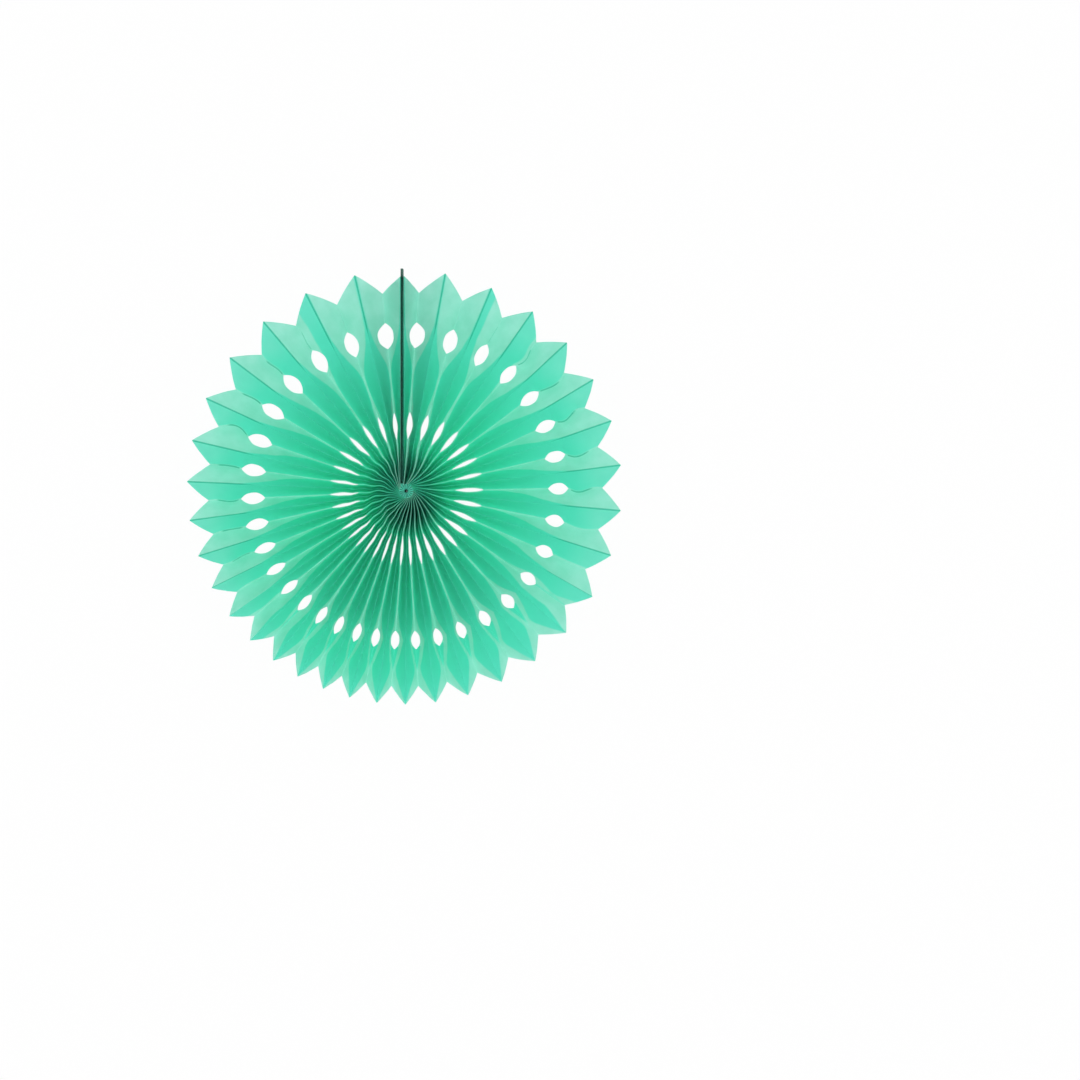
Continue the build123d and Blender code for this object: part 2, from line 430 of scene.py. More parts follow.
@dataclass(frozen=True)
class PleatRule:
    """How the strip is pleated and spread round the hub.

    A drift is how much a length grows on the side that the rim leans to.
    """

    pleat_count: int = 34
    leaf_width: float = 25.0
    fold_land: float = 0.42
    flattest_depth: float = 7.0
    tip_radius: float = 197.5
    tip_drift: float = 4.1
    tooth_height: float = 19.1
    tooth_drift: float = 2.4
    drift_angle: float = 330.0
    eye_end_drift: float = 3.7
    spread_from: float = 42.0  # where the folds stop turning on their way out of the hub
    level_at: float = 127.8  # where the angles of the front folds are stated
    first_fold_angle: float = 3.4
    last_fold_angle: float = 352.6
    crowding_waves: Curve = ((0.0363, 0.0162), (-0.0022, -0.0048), (0.0019, -0.0017))  # sine and cosine
    board_lean_pleats: float = 2.0
    open_pleat_share: float = 2.7
    sheet_start: float = 6.006
    board_offset: float = 4.006
    board_reach: float = 201.4
    end_leaf_distance: float = 1.25
    join_tip_radius: float = 195.5

    @property
    def fold_count(self) -> int:
        """Back and front folds together."""
        return 2 * self.pleat_count + 1

    @property
    def leaf_count(self) -> int:
        """Leaves from one board to the other, with the two that are glued on the boards."""
        return self.fold_count + 1

    def drifted(self, mean: float, drift: float, angle: np.ndarray) -> np.ndarray:
        """A length with its drift, at each angle."""
        return mean + drift * np.cos(np.radians(angle - self.drift_angle))

    def tips(self, angle: np.ndarray) -> np.ndarray:
        """Distance of the teeth's tips from the hub."""
        return self.drifted(self.tip_radius, self.tip_drift, angle)

    def notches(self, angle: np.ndarray) -> np.ndarray:
        """Distance of the notches between the teeth from the hub."""
        return self.tips(angle) - self.drifted(self.tooth_height, self.tooth_drift, angle)

    def join_angles(self, radius: np.ndarray) -> tuple[np.ndarray, np.ndarray]:
        """Angles of the two leaves that stand on the boards, at each radius."""
        right = np.degrees(np.arcsin((self.end_leaf_distance - self.board_offset) / radius))
        left = np.degrees(np.arcsin((-self.end_leaf_distance - self.board_offset) / radius))
        return right, 360 + left

    def front_angles(self) -> np.ndarray:
        """Angles of the front folds where they are stated: wide pleats at the top, close at the bottom."""
        share = np.arange(self.pleat_count) / (self.pleat_count - 1)
        waved = share.copy()
        for order, (sine, cosine) in enumerate(self.crowding_waves, start=1):
            turn = 2 * pi * order * share
            waved += sine * np.sin(turn) + cosine * (1 - np.cos(turn))
        return self.first_fold_angle + (self.last_fold_angle - self.first_fold_angle) * waved

    def fold_angles(self, radius: np.ndarray) -> np.ndarray:
        """Angles of all folds: back and front in turn, from board to board.

        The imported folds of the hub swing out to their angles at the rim, and the pleats beside the
        boards follow the boards.

        Args:
            radius: Distances from the hub.

        Returns:
            One row of angles for each distance.
        """
        right, left = self.join_angles(radius)
        level_right, level_left = self.join_angles(np.array(self.level_at))
        swing = eased(np.clip((radius - self.sheet_start) / (self.spread_from - self.sheet_start), 0, 1))
        index = np.arange(self.pleat_count)
        near_right = np.clip(1 - (index + 0.5) / self.board_lean_pleats, 0, 1)
        near_left = np.clip(1 - (self.pleat_count - 0.5 - index) / self.board_lean_pleats, 0, 1)
        leaned_right = np.outer(right - level_right, near_right)
        leaned_left = np.outer(left - level_left, near_left)
        rim = self.front_angles() + leaned_right + leaned_left
        steps = np.where(index == 0, 0.5, index - 0.5 + self.open_pleat_share)
        all_steps = self.pleat_count - 1 + self.open_pleat_share
        hub = right[:, None] + np.outer(left - right, steps / all_steps)
        fronts = hub + (rim - hub) * swing[:, None]
        angles = np.empty((len(radius), self.fold_count))
        angles[:, 1::2] = fronts
        angles[:, 2:-1:2] = (fronts[:, :-1] + fronts[:, 1:]) / 2
        angles[:, 0], angles[:, -1] = right, left
        return angles

    def rim_angles(self) -> np.ndarray:
        """Angles of all folds at the rim."""
        return self.fold_angles(np.array([self.tip_radius]))[0]

    def fold_depths(self, radius: np.ndarray, angles: np.ndarray) -> np.ndarray:
        """Place of each fold along Y: a leaf keeps its width, so a wide pleat is shallow.

        Args:
            radius: Distances from the hub.
            angles: The folds' angles there.

        Returns:
            One row of depths for each distance.
        """
        depths = np.full(angles.shape, self.leaf_width / 2)
        spacing = radius[:, None] * np.radians(angles[:, 2:] - angles[:, :-2]) / 2
        depth = np.sqrt(np.maximum(self.leaf_width**2 - spacing**2, self.flattest_depth**2))
        depths[:, 1:-1] = depth / 2
        depths[:, 1::2] *= -1
        return depths


# Shares painted as lit on the leaves beside the petals of painted shade at the bottom.
PETAL_STEM: Curve = ((62, 0.12), (72, 0.11), (84, 0.07), (108, 0.07))
PETAL_TOOTH: Curve = ((164, 0.2), (170, 0.27), (177, 0.47), (186, 0.71), (197, 1.0))


@dataclass(frozen=True)
class PaintedLight:
    """Painted light and shade on the leaves: how much of each leaf is pale, painted as lit, from its front
    fold, by the distance from the hub.

    The rest is deep green, painted shade, because there the light has come through more than one layer. A
    curve that ends in _round goes by the angle round the hub, and one that ends in _out by the distance
    from it.
    """

    both: Curve = (
        (64, 0.28), (74, 0.26), (84, 0.12), (94, 0.06), (106, 0.08), (113, 0.16),
        (120, 0.36), (128, 0.58), (136, 0.76), (150, 0.92), (170, 0.96),
    )
    pale: Curve = (
        (60, 0.03), (72, 0.05), (90, 0.12), (104, 0.32), (114, 0.48),
        (124, 0.7), (135, 0.84), (148, 0.97), (157, 1.1),
    )
    deep: Curve = ((60, 0.015), (95, 0.02), (150, 0.04))
    petal_before: Curve = (*PETAL_STEM, (124, 0.3), (138, 0.77), (152, 0.5), *PETAL_TOOTH)
    petal_after: Curve = (*PETAL_STEM, (124, 0.25), (138, 0.55), (152, 0.4), *PETAL_TOOTH)
    turns: tuple[float, ...] = (0, 22, 44, 112, 138, 212, 240, 318, 340, 360)
    before: tuple[Band, ...] = (
        Band.BOTH, Band.BOTH, Band.DEEP, Band.DEEP, Band.PETAL_BEFORE,
        Band.PETAL_BEFORE, Band.PALE, Band.PALE, Band.BOTH, Band.BOTH,
    )
    after: tuple[Band, ...] = (
        Band.BOTH, Band.BOTH, Band.PALE, Band.PALE, Band.PETAL_AFTER,
        Band.PETAL_AFTER, Band.DEEP, Band.DEEP, Band.BOTH, Band.BOTH,
    )
    deep_within_out: Curve = ((12, 0.1), (20, 0.05), (34, 0.035), (52, 0.0))
    triangle_start: float = 144.0
    triangle_end: float = 164.0
    triangle_width: float = 0.36
    triangle_round: Curve = ((125, 0), (140, 1), (210, 1), (225, 0))
    # A rim of painted light on the shaded leaves at the sides.
    rim_light_level: float = 0.3
    rim_light_out: Curve = ((154, 0), (176, 1))
    rim_light_right_round: Curve = ((20, 0), (50, 1), (110, 1), (135, 0))
    rim_light_left_round: Curve = ((215, 0), (245, 1), (310, 1), (340, 0))
    # Painted shade in the middle ring and where the leaves crowd round the hub.
    middle_shade_round: Curve = (
        (0, 0.06), (30, 0.02), (60, 0.0), (120, 0.02), (150, 0.12), (210, 0.12),
        (240, 0.02), (270, 0.0), (300, 0.04), (330, 0.07), (360, 0.06),
    )
    middle_shade_out: Curve = ((36, 0), (50, 1), (115, 1), (150, 0))
    hub_shade_round: Curve = (
        (0, 0.44), (45, 0.26), (85, 0.06), (110, 0.25), (145, 0.72), (190, 0.82), (212, 0.42),
        (235, 0.16), (270, 0.15), (300, 0.34), (330, 0.42), (360, 0.44),
    )
    hub_shade_out: Curve = ((6, 0.6), (12, 1.0), (22, 1.0), (30, 0.6), (41, 0.0))
    shade_across: Curve = ((0.02, 0.1), (0.2, 1))
    # Where the painted shade of the creases lies.
    fold_half_width: float = 0.001
    back_crease_out: Curve = ((110, 0), (150, 1))
    back_crease_round: Curve = ((112, 1), (135, 0), (225, 0), (248, 1))
    front_crease_out: Curve = ((148, 0), (151, 0.95), (168, 0.95), (177, 0))
    front_crease_round: Curve = (
        (20, 0.7), (50, 1), (90, 1), (115, 0), (225, 0), (250, 1), (310, 1), (340, 0.7),
    )

    def share(self, angle: np.ndarray, radius: np.ndarray, is_after: np.ndarray) -> np.ndarray:
        """Share of a leaf that is pale, painted as lit.

        Args:
            angle: Angle of its front fold.
            radius: Distance from the hub.
            is_after: True on the leaf clockwise of the front fold.

        Returns:
            The share from the front fold that is pale.
        """
        total = np.zeros(len(angle))
        for bands, chosen in ((self.before, ~is_after), (self.after, is_after)):
            for peak, band in zip(np.eye(len(self.turns)), bands):
                weight = np.interp(angle, self.turns, peak) * chosen
                total += weight * read(getattr(self, band.value), radius)
        return total - read(self.deep_within_out, radius)

    def rim_light(self, angle: np.ndarray, radius: np.ndarray, is_after: np.ndarray) -> np.ndarray:
        """Painted light: a half-pale rim on the leaves painted in shade on the left and right sides."""
        on_right = read(self.rim_light_right_round, angle) * ~is_after
        on_left = read(self.rim_light_left_round, angle) * is_after
        return self.rim_light_level * (on_right + on_left) * read(self.rim_light_out, radius)

    def painted_hub_shade(self, angle: np.ndarray, radius: np.ndarray, place: np.ndarray) -> np.ndarray:
        """Painted shade: how dark the leaves are where they crowd together, less at their front folds."""
        hub = read(self.hub_shade_round, angle) * read(self.hub_shade_out, radius)
        middle = read(self.middle_shade_round, angle) * read(self.middle_shade_out, radius)
        return np.maximum(hub, middle) * read(self.shade_across, place)

    def crease_shade(self, angle: np.ndarray, radius: np.ndarray, place: np.ndarray) -> np.ndarray:
        """Where the folds show as dark lines of painted shade: back folds in the teeth, front folds beyond
        the eyes.
        """
        at_back = np.where(place > 1 - self.fold_half_width, read(self.back_crease_out, radius), 0)
        at_front = np.where(place < self.fold_half_width, read(self.front_crease_out, radius), 0)
        at_front = at_front * read(self.front_crease_round, angle)
        return at_back * read(self.back_crease_round, angle) + at_front

    def side(
        self, angle: np.ndarray, radius: np.ndarray, is_after: np.ndarray, place: np.ndarray
    ) -> np.ndarray:
        """Signed distance from the edge of the part painted as lit, in shares of the leaf: above 0 is
        pale.

        Beyond each eye at the bottom, a deep green triangle of painted shade stands at the front fold.

        Args:
            angle: Angle of the leaf's front fold.
            radius: Distance from the hub.
            is_after: True on the leaf clockwise of the front fold.
            place: Place across the leaf, 0 at the front fold.

        Returns:
            The signed distance.
        """
        start, end = self.triangle_start, self.triangle_end
        below = read(self.triangle_round, angle)
        width = np.where(radius < start, OUTSIDE, self.triangle_width * (end - radius) / (end - start))
        triangle = np.where(below > 0, width * below, OUTSIDE)
        return np.minimum(self.share(angle, radius, is_after) - place, place - triangle)


@dataclass(frozen=True)
class Opening:
    """A ring of lens-shaped openings, one cut through each front fold."""

    reach: tuple[float, float]  # from the hub to its inner and outer end
    depth: float  # into the leaf, from the folded edge
    roundness: float
    widths: Curve  # share of the depth, by the angle round the hub

    def along(self, radius: np.ndarray) -> np.ndarray:
        """Share of the opening's length that lies nearer the hub."""
        start, end = self.reach
        return np.clip((radius - start) / (end - start), 0, 1)

    def cut(self, radius: np.ndarray) -> np.ndarray:
        """How deep the opening goes into the leaf, by the distance from the hub."""
        return self.depth * (1 - np.abs(2 * self.along(radius) - 1) ** self.roundness)


SLIT = Opening(
    reach=(44.0, 69.4),
    depth=7.6,
    roundness=1.9,
    widths=(
        (0, 1.5), (15, 1.3), (38, 1.14), (52, 0.95), (62, 0.82), (78, 0.8), (90, 0.92), (112, 1.05),
        (136, 1.15), (165, 1.15), (180, 1.05), (200, 0.95), (216, 0.8), (242, 0.75), (259, 0.92),
        (279, 0.62), (291, 0.66), (313, 0.88), (338, 0.82), (350, 1.15), (360, 1.5),
    ),
)
EYE = Opening(
    reach=(128.2, 148.2),
    depth=11.4,
    roundness=2.4,
    widths=(
        (0, 1.14), (4, 1.14), (15, 0.9), (28, 0.76), (60, 0.78), (90, 0.78), (112, 0.82), (160, 0.85),
        (185, 0.93), (215, 0.82), (245, 0.82), (262, 0.98), (280, 0.88), (340, 0.82), (352, 1.12),
        (360, 1.14),
    ),
)


@dataclass(frozen=True)
class Unevenness:
    """How the soft paper strays from its rule, drawn at random from fixed seeds."""

    fold_seed: int = 8
    curl: float = 2.0
    curl_mean: float = 0.5
    curl_spread: float = 1.0
    skew_spread: float = 0.5
    side_share: float = 1.4
    top_share: float = 1.3
    ripple: float = 0.6
    ripple_length: float = 17.0
    ripple_left: float = 1.3
    ripple_everywhere: float = 0.1
    ripple_step: float = 0.55  # radians from one fold to the next
    ripple_spread: float = 0.5
    ripple_out: Curve = ((9, 0), (18, 1), (40, 1), (62, 0))
    leaf_seed: int = 7
    wrinkle_height: float = 0.35
    wrinkle_waves: Curve = ((0.02, 0.4), (0.045, 0.8), (0.09, 1.3))  # for each mm outwards, and across
    wrinkle_start: float = 20.0
    wrinkle_rise: float = 60.0

    def stray(
        self, radius: np.ndarray, rim_angles: np.ndarray, eye_ends: np.ndarray, notches: np.ndarray
    ) -> np.ndarray:
        """How far each fold strays sideways from its rule.

        Args:
            radius: Distances from the hub.
            rim_angles: The folds' angles at the rim.
            eye_ends: Where the eye on each fold ends.
            notches: Where each fold would meet the notches.

        Returns:
            One row of offsets for each distance, clockwise, in millimetres.
        """
        chance = np.random.default_rng(self.fold_seed)
        folds = np.arange(len(rim_angles))
        turn = np.radians(rim_angles)
        at_sides = np.clip(self.side_share * np.abs(np.sin(turn)), 0, 1)
        sides = at_sides * np.clip(1.0 + self.top_share * np.cos(turn), 0, 1)
        is_front = folds % 2
        curl = chance.normal(self.curl_mean, self.curl_spread, len(folds)) * self.curl * sides * is_front
        skew = chance.normal(0.0, self.skew_spread, len(folds)) * self.curl * sides * is_front
        out = np.clip((radius[:, None] - eye_ends) / (notches - eye_ends), 0, 1)
        strayed = curl * np.sin(pi * out) + skew * np.sin(2 * pi * out)
        left = np.clip(-self.ripple_left * np.sin(turn), 0, 1)
        phase = self.ripple_step * folds + chance.normal(0, self.ripple_spread, len(folds))
        waves = np.sin(2 * pi * radius[:, None] / self.ripple_length + phase)
        near = read(self.ripple_out, radius)[:, None]
        return strayed + self.ripple * (self.ripple_everywhere + left) * near * waves

    def wrinkles(
        self, leaf: np.ndarray, leaf_count: int, share: np.ndarray, radius: np.ndarray
    ) -> np.ndarray:
        """Soft unevenness of each leaf, none at its folds.

        Args:
            leaf: Leaf of each point.
            leaf_count: Number of leaves.
            share: Place across the leaf, from fold to fold.
            radius: Distance from the hub.

        Returns:
            How far each point stands out of its leaf.
        """
        chance = np.random.default_rng(self.leaf_seed)
        total = np.zeros(len(leaf))
        for outwards, across in self.wrinkle_waves:
            phase = chance.uniform(0, 2 * pi, leaf_count)[leaf]
            slant = chance.uniform(-1, 1, leaf_count)[leaf]
            total += np.sin(2 * pi * (outwards * radius + across * slant * share) + phase)
        spread = np.clip((radius - self.wrinkle_start) / self.wrinkle_rise, 0, 1)
        is_loose = np.where((leaf == 0) | (leaf == leaf_count - 1), 0, 1)
        height = self.wrinkle_height / len(self.wrinkle_waves)
        return height * total * np.sin(pi * share) * spread * is_loose


@dataclass(frozen=True)
class PackedEnds:
    """The leaves' inner ends, packed tight round the bore, and the corner that meets the boards."""

    finish: PackedEndsFinish = PackedEndsFinish()
    radius: float = 6.406
    half_depth: float = 12.7
    bore_radius: float = 1.3
    pinched_bore_radius: float = 0.2
    rings: tuple[float, ...] = (5.6, 4.6, 3.6, 2.7, 1.9)
    points_round: int = 272
    weld_distance: float = 0.01
    ridge_count: int = 17
    ridge_seed: int = 9
    ridge_levels: tuple[float, float] = (0.4, 1.0)
    ridge_sharpness: float = 1.5
    ridge_height: float = 0.7
    ridge_start: float = 1.6
    ridge_rise: float = 2.0
    face_share: float = 0.9  # of the half depth, beyond which a point lies on the front or the back
    # Painted shade in the gaps and the bore.
    gap_shade_out: Curve = ((3.0, 0.2), (6.406, 0.05))
    bore_shade_out: Curve = ((1.5, 0.0), (2.6, 1.0))
    corner_size: tuple[float, float, float] = (2.4, 24.6, 2.3)
    corner_drop: float = 0.75
    corner_bevel: float = 0.3
    # Painted shade on the corner block.
    corner_shade: float = 0.35

    def build(self, rule: PleatRule) -> bpy.types.Object:
        """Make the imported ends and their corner.

        Args:
            rule: Where the hub lies.

        Returns:
            A closed ring and a block as one object, with a finish of their own.
        """
        centre = Vector((rule.board_offset, 0, -rule.board_reach)) * MILLIMETRE
        core = self.ring(centre)
        keep_numbers(core.data, "ridge", self.raise_ridges(core, centre))
        core.data.materials.append(self.finish.material())
        corner = self.corner(rule)
        keep_numbers(corner.data, "ridge", np.full(len(corner.data.vertices), self.corner_shade))
        corner.data.materials.append(core.data.materials[0])
        join_into(core, corner)
        return core

    def ring(self, centre: Vector) -> bpy.types.Object:
        """Plain ring whose bore narrows towards its middle.

        Args:
            centre: Middle of the hub, in metres.

        Returns:
            The closed ring.
        """
        half = self.half_depth * MILLIMETRE
        deselect_all()
        bpy.ops.mesh.primitive_circle_add(
            vertices=self.points_round,
            radius=self.radius * MILLIMETRE,
            location=centre + Vector((0, half, 0)),
            rotation=(pi / 2, 0, 0),
        )
        core = bpy.context.object
        core.name = core.data.name = "packed_ends"
        bpy.ops.object.transform_apply(location=True, rotation=True, scale=True)
        bpy.ops.object.mode_set(mode="EDIT")
        bpy.ops.mesh.select_mode(type="EDGE")
        bpy.ops.mesh.select_all(action="SELECT")
        bpy.ops.mesh.extrude_region_move(TRANSFORM_OT_translate={"value": (0, -2 * half, 0)})
        inwards = [(ring, 0) for ring in (*self.rings, self.bore_radius)]
        through = [(self.bore_radius, half), (self.pinched_bore_radius, half)]
        outwards = [(ring, 0) for ring in (*reversed(self.rings), self.radius)]
        last = self.radius
        for ring, step in (*inwards, *through, *outwards):
            bpy.ops.mesh.extrude_region_move(TRANSFORM_OT_translate={"value": (0, step, 0)})
            bpy.ops.transform.resize(value=(ring / last, 1, ring / last), center_override=centre)
            last = ring
        bpy.ops.mesh.select_all(action="SELECT")
        bpy.ops.mesh.remove_doubles(threshold=self.weld_distance * MILLIMETRE)
        bpy.ops.mesh.normals_make_consistent(inside=False)
        bpy.ops.object.mode_set(mode="OBJECT")
        return core

    def raise_ridges(self, core: bpy.types.Object, centre: Vector) -> np.ndarray:
        """Sink the gaps between the ridges on the ring's front and back.

        Args:
            core: The plain ring.
            centre: Middle of the hub, in metres.

        Returns:
            How much each point of the ring belongs to a lit edge, against painted shade in the gaps and
            the bore.
        """
        half = self.half_depth * MILLIMETRE
        levels = np.random.default_rng(self.ridge_seed).uniform(*self.ridge_levels, self.ridge_count)
        light_tones = []
        for point in core.data.vertices:
            out = point.co - centre
            turn = np.arctan2(out.x, out.z) * self.ridge_count
            distance = Vector((out.x, out.z)).length / MILLIMETRE
            level = levels[round(turn / (2 * pi)) % self.ridge_count]
            height = ((1 + np.cos(turn)) / 2) ** self.ridge_sharpness * level
            far = np.clip((distance - self.ridge_start) / self.ridge_rise, 0, 1)
            if abs(out.y) > self.face_share * half:
                point.co.y -= np.sign(out.y) * self.ridge_height * MILLIMETRE * (1 - height) * far
            # Painted shade: dark gaps between lit edges, darker still in the bore.
            gap_shade = read(self.gap_shade_out, distance)
            light_tones.append(read(self.bore_shade_out, distance) * (gap_shade + (1 - gap_shade) * height))
        return np.array(light_tones)

    def corner(self, rule: PleatRule) -> bpy.types.Object:
        """Small block of packed tissue between the ring and the boards' inner ends."""
        height = self.radius - rule.board_reach - self.corner_drop
        bpy.ops.mesh.primitive_cube_add(
            size=1,
            location=(0, 0, height * MILLIMETRE),
            scale=tuple(side * MILLIMETRE for side in self.corner_size),
        )
        corner = bpy.context.object
        bpy.ops.object.transform_apply(location=True, rotation=True, scale=True)
        bpy.ops.object.mode_set(mode="EDIT")
        bpy.ops.mesh.select_all(action="SELECT")
        bpy.ops.mesh.bevel(offset=self.corner_bevel * MILLIMETRE, segments=2)
        bpy.ops.object.mode_set(mode="OBJECT")
        return corner


@dataclass(frozen=True)
class StripRows:
    """Rows of the flat grid, from the hub outwards."""

    radius: np.ndarray
    cut: np.ndarray  # depth of the openings
    drift: np.ndarray  # how much the radius drifts
    lean: np.ndarray  # how much the radius leans
    out: np.ndarray  # share of the way from the eyes to the teeth's edge


@dataclass(frozen=True)
class StripPoints:
    """Points of the strip, by the leaf that each lies on."""

    row: np.ndarray
    leaf: np.ndarray
    share: np.ndarray  # place across the leaf, from its first fold to its second
    first_fold: np.ndarray
    second_fold: np.ndarray
    starts_free: np.ndarray  # True on the leaf that starts on a board
    ends_free: np.ndarray  # True on the leaf that ends on a board

    @property
    def is_after(self) -> np.ndarray:
        """True on each leaf clockwise of its front fold."""
        return self.first_fold % 2 == 1

    @property
    def is_glued(self) -> np.ndarray:
        """True on the two leaves that are glued on the boards."""
        return self.starts_free | self.ends_free


@dataclass(frozen=True)
class PleatedTissue:
    """The folded strip with its teeth and openings, and its packed ends at the hub."""

    rule: PleatRule = PleatRule()
    painted_light: PaintedLight = PaintedLight()
    unevenness: Unevenness = Unevenness()
    ends: PackedEnds = PackedEnds()
    finish: TissueFinish = TissueFinish()
    slit: Opening = SLIT
    eye: Opening = EYE
    between_rings: float = 100.0  # a distance from the hub between the slits and the eyes
    # The slits' edges get a pale rim of painted light.
    slit_light_rim: float = 0.12
    leans_out: Curve = ((16, 0.0), (44, 3.3), (69, 2.0), (100, 0.4), (128, 1.3), (149, 1.5))
    lean_angle: float = 10.0
    tooth_bulge: float = 0.2
    thickness: float = 0.16
    sharp_angle: float = 20.0
    leaf_columns: int = 8
    hub_rows: int = 14
    hub_crowding: float = 1.45
    slit_rows: int = 13
    middle_rows: int = 15
    eye_rows: int = 17
    end_crowding: float = 0.6
    tooth_rows: int = 12
    least_cut: float = 0.001

    @property
    def leaf_stations(self) -> int:
        """Columns of points on each leaf."""
        return self.leaf_columns + 1

    @property
    def column_count(self) -> int:
        """Columns of points along the whole strip."""
        return self.leaf_stations * self.rule.leaf_count

    def closer_at_ends(self, count: int) -> np.ndarray:
        """Numbers from 0 to 1, closer together at both ends."""
        even = np.linspace(0, 1, count)
        return (1 - self.end_crowding) * even + self.end_crowding * (1 - np.cos(pi * even)) / 2

    def rows(self) -> StripRows:
        """Rows of the grid, close together where the openings start and end."""
        rule = self.rule
        slit_start, slit_end = self.slit.reach
        eye_start, eye_end = self.eye.reach
        hub_share = np.linspace(0, 1, self.hub_rows) ** self.hub_crowding
        hub = rule.sheet_start + (slit_start - rule.sheet_start) * hub_share
        slit = slit_start + (slit_end - slit_start) * self.closer_at_ends(self.slit_rows)
        middle = np.linspace(slit_end, eye_start, self.middle_rows)
        eye = eye_start + (eye_end - eye_start) * self.closer_at_ends(self.eye_rows)
        teeth = np.full(self.tooth_rows, eye_end)
        radius = np.concatenate([hub, slit[1:], middle[1:], eye[1:], teeth])
        teeth_out = np.linspace(0, 1, self.tooth_rows + 1)[1:]
        out = np.concatenate([np.zeros(len(radius) - self.tooth_rows), teeth_out])
        cut = np.where(out > 0, 0, self.slit.cut(radius) + self.eye.cut(radius))
        drift = rule.eye_end_drift * self.eye.along(radius)
        return StripRows(radius, cut, drift, read(self.leans_out, radius), out)

    def flat_grid(self, row_count: int) -> bpy.types.Object:
        """A flat grid to be folded, 2 metres on each side.

        Args:
            row_count: Rows of points across the strip.

        Returns:
            The grid.
        """
        deselect_all()
        bpy.ops.mesh.primitive_grid_add(
            x_subdivisions=self.column_count - 1, y_subdivisions=row_count - 1, size=2, location=(0, 0, 0)
        )
        strip = bpy.context.object
        strip.name = strip.data.name = "pleated_tissue"
        return strip

    def grid_places(self, mesh: bpy.types.Mesh, row_count: int) -> tuple[np.ndarray, np.ndarray]:
        """Column and row of each point of the flat grid.

        Args:
            mesh: The flat grid.
            row_count: Rows of points across it.

        Returns:
            The columns and the rows.
        """
        flat = np.empty(len(mesh.vertices) * 3)
        mesh.vertices.foreach_get("co", flat)
        flat = flat.reshape(-1, 3)
        column = np.rint((flat[:, 0] + 1) / 2 * (self.column_count - 1)).astype(int)
        row = np.rint((flat[:, 1] + 1) / 2 * (row_count - 1)).astype(int)
        return column, row

    def cut_openings(self, strip: bpy.types.Object, rows: StripRows) -> None:
        """Take the faces of the front folds out of the flat grid, along the slits and the eyes.

        Args:
            strip: The flat grid.
            rows: Its rows.
        """
        select_only(strip)
        mesh = strip.data
        column, row = self.grid_places(mesh, len(rows.radius))
        is_open = rows.cut > self.least_cut
        gone = np.zeros(len(mesh.polygons), bool)
        for face in mesh.polygons:
            corners = list(face.vertices)
            first, low = column[corners].min(), row[corners].min()
            leaf, station = divmod(first, self.leaf_stations)
            is_fold = station == self.leaf_columns
            is_front = is_fold and leaf % 2 == 1 and leaf < self.rule.fold_count - 1
            gone[face.index] = is_front and (is_open[low] or is_open[low + 1])
        mesh.polygons.foreach_set("select", gone)
        bpy.ops.object.mode_set(mode="EDIT")
        bpy.ops.mesh.select_mode(type="FACE")
        bpy.ops.object.mode_set(mode="OBJECT")
        mesh.polygons.foreach_set("select", gone)
        bpy.ops.object.mode_set(mode="EDIT")
        bpy.ops.mesh.delete(type="FACE")
        bpy.ops.object.mode_set(mode="OBJECT")

    def strip_points(self, column: np.ndarray, row: np.ndarray) -> StripPoints:
        """Leaf, folds and place of each point.

        Args:
            column: Column of each point.
            row: Row of each point.

        Returns:
            The points by their leaves.
        """
        leaf, station = np.divmod(column, self.leaf_stations)
        last_fold = self.rule.fold_count - 1
        return StripPoints(
            row=row,
            leaf=leaf,
            share=station / self.leaf_columns,
            first_fold=np.clip(leaf - 1, 0, last_fold),
            second_fold=np.clip(leaf, 0, last_fold),
            starts_free=leaf < 1,
            ends_free=leaf > last_fold,
        )

    def leaned(self, angle: np.ndarray) -> np.ndarray:
        """How much of the rings' lean an angle gets."""
        return np.cos(np.radians(angle - self.lean_angle))

    def distances(self, points: StripPoints, rows: StripRows) -> np.ndarray:
        """Distance of each point from the hub, out to the teeth's own edge.

        Args:
            points: Points of the strip.
            rows: Their rows.

        Returns:
            One distance for each point.
        """
        rule, row, share = self.rule, points.row, points.share
        rims = rule.rim_angles()
        turn = rims[points.first_fold] + (rims[points.second_fold] - rims[points.first_fold]) * share
        radius = rule.drifted(rows.radius[row], rows.drift[row], turn)
        radius = radius + rows.lean[row] * self.leaned(turn)
        ends = np.where(np.arange(rule.fold_count) % 2, rule.notches(rims), rule.tips(rims))
        ends[0] = ends[-1] = rule.join_tip_radius
        free_end = rule.join_tip_radius - rule.tooth_height
        first_end = np.where(points.starts_free, free_end, ends[points.first_fold])
        second_end = np.where(points.ends_free, free_end, ends[points.second_fold])
        rim = first_end + (second_end - first_end) * share + self.tooth_bulge * np.sin(pi * share)
        return radius + (rim - radius) * rows.out[row]

    def leaf_edges(self, points: StripPoints, radius: np.ndarray) -> tuple[np.ndarray, ...]:
        """Where the folds on the two sides of each point lie.

        Args:
            points: Points of the strip.
            radius: Distance of each point from the hub.

        Returns:
            Place of the first and the second fold along the ring, and depth of the first and the second.
        """
        rule = self.rule
        rims = rule.rim_angles()
        angles = rule.fold_angles(radius)
        depths = rule.fold_depths(radius, angles)
        eye_ends = rule.drifted(self.eye.reach[1], rule.eye_end_drift, rims)
        eye_ends = eye_ends + self.leans_out[-1][1] * self.leaned(rims)
        strayed = self.unevenness.stray(radius, rims, eye_ends, rule.notches(rims))
        angles = angles + np.degrees(strayed / radius[:, None])
        each = np.arange(len(radius))
        open_edge = -rule.leaf_width / 2
        return (
            radius * np.radians(angles[each, points.first_fold]),
            radius * np.radians(angles[each, points.second_fold]),
            np.where(points.starts_free, open_edge, depths[each, points.first_fold]),
            np.where(points.ends_free, open_edge, depths[each, points.second_fold]),
        )

